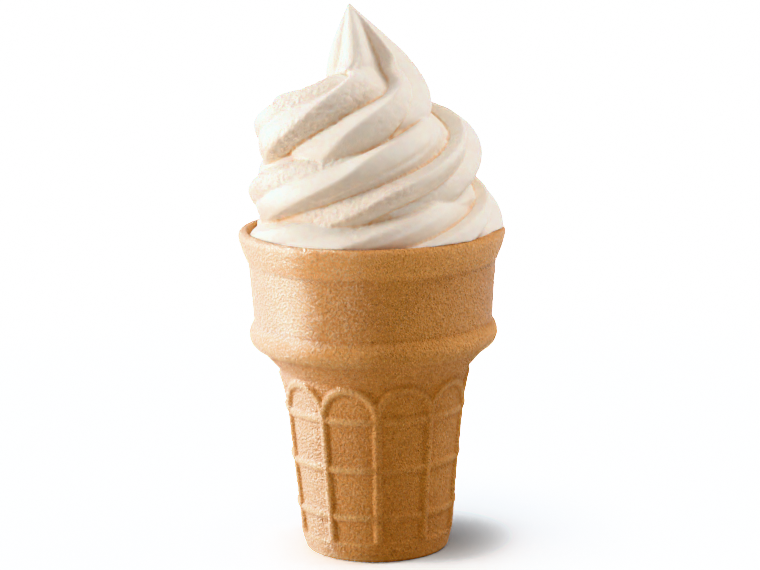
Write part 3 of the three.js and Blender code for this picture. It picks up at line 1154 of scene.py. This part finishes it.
PATCHES = (
    Patch((2.03, 2.34), (5.42, 6.02), 0.8),
    Patch((2.06, 2.26), (4.3, 4.93), 1.0),
    Patch((1.02, 1.22), (4.2, 4.93), 0.8),
    Patch((1.08, 1.31), (0.05, 0.42), 1.0),
    Patch((1.32, 1.44), (0.5, 1.2), 0.35),
    Patch((1.36, 1.47), (5.85, 6.2), 0.6),
    Patch((2.23, 2.36), (0.3, 0.75), 0.35),
    Patch((0.2, 0.42), (4.9, 5.6), 0.4),
)


def lobes_between(place: np.ndarray, other: np.ndarray | float) -> np.ndarray:
    """How many lobes one place lies past another, the shorter way round the star."""
    return (place - other + STAR_LOBES / 2) % STAR_LOBES - STAR_LOBES / 2


@dataclass
class SoftServe:
    """A rope with six lobes, wound anticlockwise as it rises and pulled to a tip.

    The rope leaves a star nozzle that never turns, so each lobe climbs around the rope once a
    lap. Laps start at the left and pass the front, the right and the back. The rope's station
    values are a quarter lap apart. The rope and its core are in millimetres and degrees, and what
    is done to their fused skin is in metres.
    """

    cavity: WaferCone
    first_lap: float = -0.25
    lap_spacing: float = 0.25
    ring_radius: tuple[float, ...] = (
        19.0, 20.0, 20.6, 18.6, 19.0, 19.8, 17.5, 15.3, 15.5, 17.2, 9.4, 2.4, 0.5, 0.0,
    )
    height: tuple[float, ...] = (
        69.0, 73.0, 74.0, 76.5, 81.0, 85.0, 89.5, 93.0, 95.5, 98.3, 104.8, 111.0, 119.5, 128.3,
    )
    reach: tuple[float, ...] = (
        9.0, 9.3, 9.7, 12.0, 10.2, 9.1, 10.0, 10.6, 10.4, 10.2, 11.6, 11.1, 6.7, 0.35,
    )
    tilt: tuple[float, ...] = (5, 5, 6, 7, 7, 7, 7, 8, 12, 24, 46, 71, 87, 90)
    sideways: tuple[float, ...] = (0, 0, 0, 0, 0, 0, 0, 0, 0, 0, -0.3, -1.0, -1.6, -4.2)
    crest_sharpness: float = 1.08
    star: tuple[Lobe, ...] = STAR
    folds: tuple[Fold, ...] = FOLDS
    patches: tuple[Patch, ...] = PATCHES
    start: float = -0.15
    end: float = 3.0
    steps_per_lap: int = 230
    points_per_lobe: int = 30
    tip_rise: float = 0.3
    fold_ease: float = 0.25  # share of a fold's length over which it starts and ends
    core: tuple[Ring, ...] = (
        (24.6, 64.0),
        (27.6, 73.8),
        (24.0, 75.5),
        (24.2, 83.5),
        (20.5, 91.0),
        (18.2, 98.5),
        (12.5, 104.0),
    )
    core_columns: int = 96

    voxel: float = 0.34 * MM
    overlap: float = 0.05 * MM
    skin_depth: float = 0.05 * MM
    skin_grain: float = 2.6 * MM
    torn_depth: float = 0.18 * MM
    torn_grain: float = 0.85 * MM
    torn_layers: int = 2
    torn_shift: float = 0.05
    patch_rim: Span = (0.08, -0.04)  # past a patch's places, in lobes
    patch_end: Span = (0.02, -0.03)  # past a patch's laps
    hollow_rounds: int = 40
    hollow_depth: float = 0.62 * MM
    # Painted shade falls on undersides, eased over this span.
    underside_shade: Span = (0.5, -0.5)  # upward share of the skin's normal
    grain: Grain = field(default_factory=lambda: Grain(seed=5))

    def _rope(self, values: tuple[float, ...], lap: np.ndarray) -> np.ndarray:
        """Value of one of the rope's station rows at each lap."""
        return station_value(values, self.first_lap, self.lap_spacing, lap)

    def centre(self, lap: np.ndarray) -> np.ndarray:
        """Centre line of the rope.

        Args:
            lap: Laps, of shape (n,).

        Returns:
            Positions of shape (n, 3), in millimetres.
        """
        angle = math.pi + 2 * math.pi * lap
        radius = self._rope(self.ring_radius, lap)
        across = self._rope(self.sideways, lap) + radius * np.cos(angle)
        return np.stack([across, radius * np.sin(angle), self._rope(self.height, lap)], -1)

    def axes(self, lap: np.ndarray) -> tuple[np.ndarray, np.ndarray]:
        """Compass axes of the rope's sections: +X and +Y, tipped with the rope.

        Args:
            lap: Laps, of shape (n,).

        Returns:
            The two tipped axes, each of shape (n, 3).
        """
        angle = math.pi + 2 * math.pi * lap
        tilt = np.radians(self._rope(self.tilt, lap))
        run = np.stack([-np.sin(angle) * np.cos(tilt), np.cos(angle) * np.cos(tilt), np.sin(tilt)], -1)
        turn = np.stack([-run[:, 1], run[:, 0], np.zeros(len(run))], -1)
        tipped = []
        for axis in (np.array([1.0, 0.0, 0.0]), np.array([0.0, 1.0, 0.0])):
            share = (turn @ axis) / (1 + run[:, 2])
            tipped.append(run[:, 2:] * axis + np.cross(turn, axis) + turn * share[:, None])
        return tipped[0], tipped[1]

    @staticmethod
    def _star(values: tuple[float, ...], lap: np.ndarray) -> np.ndarray:
        """Value of one of a lobe's rows at each lap, as a column."""
        return guided_value(STAR_LAPS, values, lap)[:, None]

    def outline(self, lap: np.ndarray) -> tuple[np.ndarray, np.ndarray, np.ndarray]:
        """The star's outline at each lap.

        Args:
            lap: Laps, of shape (n,).

        Returns:
            Compass direction in radians from +X, share of the full reach, and place within the
            star counted in lobes, each of shape (n, points in a section).
        """
        part = np.arange(self.points_per_lobe) / self.points_per_lobe
        degrees, shares, places = [], [], []
        for number, lobe in enumerate(self.star):
            following = self.star[(number + 1) % STAR_LOBES]
            wrap = 360.0 if number == STAR_LOBES - 1 else 0.0
            valley = self._star(lobe.valley, lap)
            start, end = self._star(lobe.crest_start, lap), self._star(lobe.crest_end, lap)
            left = np.clip((start - part) / start, 0, 1) ** self.crest_sharpness
            right = np.clip((part - end) / (1 - end), 0, 1) ** self.crest_sharpness
            crown = self._star(lobe.crown, lap)
            before = crown - 1 + self._star(lobe.depth, lap)
            after = crown - 1 + self._star(following.depth, lap)
            shares.append(crown - before * left - after * right)
            degrees.append(valley + (self._star(following.valley, lap) + wrap - valley) * part)
            places.append(np.broadcast_to(number + part, shares[-1].shape))
        compass = np.radians(np.concatenate(degrees, axis=1)) - math.pi / 2
        share, place = np.concatenate(shares, axis=1), np.concatenate(places, axis=1)
        for fold in self.folds:
            share += self._folded(fold, lap, place)
        return compass, share, place

    def _folded(self, fold: Fold, lap: np.ndarray, place: np.ndarray) -> np.ndarray:
        """How much a fold adds to the reach.

        Args:
            fold: The fold.
            lap: Laps, of shape (n,).
            place: Places within the star, of shape (n, points in a section).

        Returns:
            Shares of the reach, of the same shape as ``place``.
        """
        away = lobes_between(place, guided_value(fold.laps, fold.places, lap)[:, None])
        first, last = fold.laps[0], fold.laps[-1]
        ease = self.fold_ease * (last - first)
        along = smoothstep(first, first + ease, lap) * smoothstep(last, last - ease, lap)
        return fold.height * np.exp(-((away / fold.width) ** 2)) * along[:, None]

    def rope_points(self) -> tuple[np.ndarray, np.ndarray, np.ndarray]:
        """Skin of the rope.

        Returns:
            Points of shape (laps, around, 3) in millimetres, the lap of each row, and the
            place of each point within the star.
        """
        lap = np.linspace(self.start, self.end, int((self.end - self.start) * self.steps_per_lap))
        compass, share, place = self.outline(lap)
        east, north = self.axes(lap)
        reach = self._rope(self.reach, lap)[:, None] * share
        out = np.cos(compass)[..., None] * east[:, None] + np.sin(compass)[..., None] * north[:, None]
        return self.centre(lap)[:, None] + out * reach[..., None], lap, place

    def _raw(self) -> bpy.types.Object:
        """Close the rope and its core, which still run through each other.

        Returns:
            Their mesh object.
        """
        skin, _, _ = self.rope_points()
        tip = skin[-1].mean(axis=0) + [0, 0, self.tip_rise]
        points, faces = closed_tube(skin, skin[0].mean(axis=0), tip)
        turn = np.linspace(0, 2 * math.pi, self.core_columns, endpoint=False)
        around = np.stack([np.cos(turn), np.sin(turn), np.zeros_like(turn)], -1)
        rings = np.array([around * radius + [0, 0, height] for radius, height in self.core])
        inner, inner_faces = closed_tube(rings, (0, 0, self.core[0][1]), (0, 0, self.core[-1][1]))
        faces += [[len(points) + number for number in face] for face in inner_faces]
        return mesh_object("soft_serve_raw", np.concatenate([points, inner]) * MM, faces)

    def build(self) -> bpy.types.Object:
        """Fuse the rope into one skin, seat it in the wafer and give it its fine relief.

        Returns:
            The soft serve's mesh object.
        """
        raw = self._raw()
        fuse = raw.modifiers.new("fuse", "REMESH")
        fuse.mode = "VOXEL"
        fuse.voxel_size = self.voxel
        graph = bpy.context.evaluated_depsgraph_get()
        mesh = bpy.data.meshes.new_from_object(raw.evaluated_get(graph))
        mesh.name = "soft_serve_swirl"
        bpy.data.objects.remove(raw)
        piece = bpy.data.objects.new("soft_serve_swirl", mesh)
        bpy.context.scene.collection.objects.link(piece)
        set_mesh_points(piece, relaxed(mesh_points(piece), edge_array(piece), rounds=1))
        torn = self._torn(mesh_points(piece))
        set_mask(piece, "torn", torn)
        self._roughen(piece, torn)
        self._seat(piece)
        # hollows, where the cream takes painted crease shade
        set_mask(piece, "hollow", sunk(piece, self.hollow_rounds, self.hollow_depth))
        # painted shade on undersides
        set_mask(piece, "underside_shade", smoothstep(*self.underside_shade, mesh_normals(piece)[:, 2]))
        mesh.shade_smooth()
        return piece

    def _seat(self, piece: bpy.types.Object) -> None:
        """Keep what lies below the rim inside the wafer, touching it.

        Args:
            piece: The fused swirl.
        """
        points = mesh_points(piece)
        radius = np.hypot(points[:, 0], points[:, 1])
        below = points[:, 2] < self.cavity.rim_top + self.overlap
        limit = np.where(below, self.cavity.rim_inner_edge + self.overlap, np.inf)
        points[:, :2] *= (np.minimum(radius, limit) / np.maximum(radius, TINY))[:, None]
        set_mesh_points(piece, points)

    def _torn(self, points: np.ndarray) -> np.ndarray:
        """How torn the skin is at each point, from the patch that it lies in.

        Args:
            points: Positions of shape (n, 3), in metres.

        Returns:
            One value for each point, from 0 to 1.
        """
        skin, lap, place = self.rope_points()
        tree = kdtree.KDTree(place.size)
        for number, point in enumerate(skin.reshape(-1, 3) * MM):
            tree.insert(point, number)
        tree.balance()
        nearest = np.array([tree.find(point)[1] for point in points])
        laps, places = lap[nearest // place.shape[1]], place.ravel()[nearest]
        torn = np.zeros(len(points))
        for patch in self.patches:
            past_place = np.abs(lobes_between(places, np.mean(patch.places))) - np.ptp(patch.places) / 2
            past_lap = np.abs(laps - np.mean(patch.laps)) - np.ptp(patch.laps) / 2
            inside = smoothstep(*self.patch_rim, past_place) * smoothstep(*self.patch_end, past_lap)
            torn = np.maximum(torn, inside * patch.strength)
        return torn

    def _roughen(self, piece: bpy.types.Object, torn: np.ndarray) -> None:
        """Lift and dent the skin slightly, and more where it is torn.

        Args:
            piece: The fused swirl.
            torn: How torn each vertex is.
        """
        points = mesh_points(piece)
        lift = self.grain.layered(points, self.skin_grain) * self.skin_depth
        flakes = self.grain.layered(points + self.torn_shift, self.torn_grain, self.torn_layers)
        lift += flakes * self.torn_depth * torn
        set_mesh_points(piece, points + mesh_normals(piece) * lift[:, None])


# Studio ------------------------------------------------------------------------------------


class Throw(Enum):
    """What a soft light adds to what it shines on."""

    ALL = "its light and its reflection"
    GLINT = "its reflection alone"


@dataclass(frozen=True)
class Softbox:
    """A rectangular soft light: where it hangs, how large and how strong it is.

    Its azimuth runs from the front toward +X and its elevation up from the floor, in degrees.
    """

    azimuth: float
    elevation: float
    width: float
    height: float
    power: float
    colour: Triple
    throw: Throw = Throw.ALL


@dataclass
class Studio:
    """Camera, soft lights from the left and the upper right, soft surroundings and a pale floor with a
    painted shadow.
    """

    camera_distance: float = 687.4 * MM
    camera_height: float = 199.44 * MM
    pitch: float = math.radians(11.28)
    yaw: float = math.radians(0.14)
    roll: float = math.radians(-0.99)
    lens: float = 142.5
    sensor: float = 36.0
    clip: Span = (0.01, 50.0)

    key: Softbox = Softbox(-87.0, 7.0, 0.34, 0.3, 7.2, (1.0, 1.03, 1.05))
    glint: Softbox = Softbox(-121.0, 10.0, 0.3, 0.3, 74.0, (0.80, 1.02, 1.0), Throw.GLINT)
    rim: Softbox = Softbox(95.0, 55.0, 0.4, 0.4, 4.5, (1.0, 0.98, 0.96))
    light_distance: float = 0.9
    aim: Triple = (0.0, 0.0, 60.0 * MM)

    # Where the surroundings turn from front to back, from left to right and from low to high.
    backward: Span = (-0.15, 0.75)
    rightward: Span = (-0.8, 0.8)
    upward: Span = (-0.2, 0.25)
    front_left: Colour = (0.45, 0.40, 0.36, 1.0)
    back_left: Colour = (1.7, 1.86, 2.1, 1.0)
    front_right: Colour = (0.29, 0.255, 0.24, 1.0)
    back_right: Colour = (0.05, 0.05, 0.05, 1.0)
    low_right: Colour = (1.4, 1.53, 1.67, 1.0)
    backdrop: Colour = (1.0, 1.0, 1.0, 1.0)
    backdrop_strength: float = 40.0

    floor_radius: float = 0.3
    floor_core: float = 0.4  # share of the radius from which it fades out
    floor_roughness: float = 0.9
    floor_colour: Colour = (0.60, 0.56, 0.50, 1.0)
    floor_shown: Triple = (0.93, 1.0, 1.04)
    # Painted shadow: the floor's strength to the camera, least at the centre, then a slope and a steep edge.
    shade_centre: Triple = (12.0 * MM, 6.0 * MM, 0.0)
    shade_radii: Triple = (33.0 * MM, 38.0 * MM, 1.0)
    shade_depth: float = 0.3
    shade_slope: float = 1.6
    shade_edge: float = 2.5
    shade_edge_power: float = 6.0
    shade_top: float = 60.0

    def camera(self) -> bpy.types.Object:
        """Place the camera and make it the scene's own.

        Returns:
            The camera object.
        """
        data = bpy.data.cameras.new("camera")
        data.sensor_width = self.sensor
        data.lens = self.lens
        data.clip_start, data.clip_end = self.clip
        camera = bpy.data.objects.new("camera", data)
        forward = Vector((
            math.sin(self.yaw) * math.cos(self.pitch),
            math.cos(self.yaw) * math.cos(self.pitch),
            -math.sin(self.pitch),
        ))
        turn = forward.to_track_quat("-Z", "Y").to_matrix() @ Matrix.Rotation(self.roll, 3, "Z")
        stand = Matrix.Translation((0.0, -self.camera_distance, self.camera_height))
        camera.matrix_world = stand @ turn.to_4x4()
        bpy.context.scene.collection.objects.link(camera)
        bpy.context.scene.camera = camera
        return camera

    def hang(self, name: str, box: Softbox) -> bpy.types.Object:
        """Hang a soft light that looks at the object.

        Args:
            name: Name of the light.
            box: Its place, size, power and colour.

        Returns:
            The light object.
        """
        data = bpy.data.lights.new(name, "AREA")
        data.shape = "RECTANGLE"
        data.size, data.size_y = box.width, box.height
        data.energy = box.power
        data.color = box.colour
        light = bpy.data.objects.new(name, data)
        light.visible_diffuse = box.throw is Throw.ALL
        a, e = math.radians(box.azimuth), math.radians(box.elevation)
        toward = Vector((math.sin(a) * math.cos(e), -math.cos(a) * math.cos(e), math.sin(e)))
        light.location = Vector(self.aim) + toward * self.light_distance
        light.rotation_euler = (-toward).to_track_quat("-Z", "Y").to_euler()
        bpy.context.scene.collection.objects.link(light)
        return light

    def world(self) -> None:
        """Soft surroundings: brightest behind and at the left, and white to the camera."""
        world = bpy.data.worlds.new("studio")
        world.use_nodes = True
        bpy.context.scene.world = world
        wiring = Wiring(world.node_tree)
        world.node_tree.nodes.clear()
        direction = wiring.node("ShaderNodeTexCoord").outputs["Generated"]
        split = wiring.node("ShaderNodeSeparateXYZ")
        wiring.join(direction, split.inputs[0])
        backward = wiring.ramp(split.outputs["Y"], *self.backward)
        rightward = wiring.ramp(split.outputs["X"], *self.rightward)
        upward = wiring.ramp(split.outputs["Z"], *self.upward)
        left = wiring.mix(backward, self.front_left, self.back_left)
        right = wiring.mix(backward, self.front_right, self.back_right)
        right = wiring.mix(upward, self.low_right, right)
        lit = wiring.node("ShaderNodeBackground")
        wiring.join(wiring.mix(rightward, left, right), lit.inputs["Color"])
        plain = wiring.node("ShaderNodeBackground")
        set_inputs(plain, {"Color": self.backdrop, "Strength": self.backdrop_strength})
        choose = wiring.node("ShaderNodeMixShader")
        wiring.join(wiring.node("ShaderNodeLightPath").outputs["Is Camera Ray"], choose.inputs[0])
        wiring.join(lit.outputs[0], choose.inputs[1])
        wiring.join(plain.outputs[0], choose.inputs[2])
        wiring.join(choose.outputs[0], wiring.node("ShaderNodeOutputWorld").inputs["Surface"])

    def _painted_floor_shadow(self, wiring: Wiring, place: bpy.types.NodeSocket) -> bpy.types.NodeSocket:
        """How bright the floor shows: a painted soft shadow beside the base, white further out.

        Args:
            wiring: Node tree to add to.
            place: Position on the floor.

        Returns:
            Socket of the floor's strength.
        """
        offset = wiring.vector("SUBTRACT", place, self.shade_centre).outputs["Vector"]
        scaled = wiring.vector("DIVIDE", offset, self.shade_radii).outputs["Vector"]
        away = wiring.vector("LENGTH", scaled).outputs["Value"]
        edge = wiring.math("MULTIPLY", wiring.math("POWER", away, self.shade_edge_power), self.shade_edge)
        slope = wiring.math("MULTIPLY", wiring.math("MULTIPLY", away, away), self.shade_slope)
        rise = wiring.math("ADD", wiring.math("ADD", slope, edge), self.shade_depth)
        return wiring.math("MINIMUM", rise, self.shade_top)

    def floor(self) -> bpy.types.Object:
        """Lay a round pale floor that shows a painted shadow, over its own lit shading, to the camera alone.

        Returns:
            The floor's mesh object, already staged.
        """
        half = self.floor_radius
        corners = np.array([[-half, -half, 0], [half, -half, 0], [half, half, 0], [-half, half, 0]])
        floor = mesh_object("studio_floor", corners, [(0, 1, 2, 3)])
        material, wiring, shader = new_material("pale_floor")
        seen = wiring.node("ShaderNodeLightPath").outputs["Is Camera Ray"]
        place = wiring.node("ShaderNodeTexCoord").outputs["Object"]
        shown = wiring.vector("SCALE", self.floor_shown)
        wiring.join(self._painted_floor_shadow(wiring, place), shown.inputs["Scale"])
        wiring.join(wiring.mix(seen, self.floor_colour, shown.outputs[0]), shader.inputs["Base Color"])
        set_inputs(shader, {"Roughness": self.floor_roughness, "Specular IOR Level": 0.0})
        away = wiring.vector("LENGTH", place).outputs["Value"]
        wiring.join(wiring.ramp(away, half, self.floor_core * half), shader.inputs["Alpha"])
        floor.data.materials.append(material)
        return floor

    def build(self) -> None:
        """Set up camera, lights, surroundings and floor."""
        self.camera()
        self.world()
        self.floor()
        self.hang("key", self.key)
        self.hang("glint", self.glint)
        self.hang("rim", self.rim)
        bpy.context.scene.view_settings.view_transform = "Khronos PBR Neutral"


# The object --------------------------------------------------------------------------------


def dress(piece: bpy.types.Object, node: str, material: bpy.types.Material) -> None:
    """Give a piece its material and tie it to the frame.

    Args:
        piece: New mesh object.
        node: CAD node that it stands for.
        material: Its finish.
    """
    piece.data.materials.clear()
    piece.data.materials.append(material)
    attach(piece, BODY)
    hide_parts(node)
    LOG.info("%s: %d faces, stands for %s", piece.name, len(piece.data.polygons), node)


def main() -> None:
    """Load the frame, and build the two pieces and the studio."""
    logging.basicConfig(level=logging.INFO, format="%(name)s: %(message)s")
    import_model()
    grain = GrainGroup()
    wafer = WaferCone()
    dress(wafer.build(), "wafer_cone", WaferFinish().material(grain))
    dress(SoftServe(cavity=wafer).build(), "soft_serve", CreamFinish().material(grain))
    Studio().build()


if __name__ == "__main__":
    main()
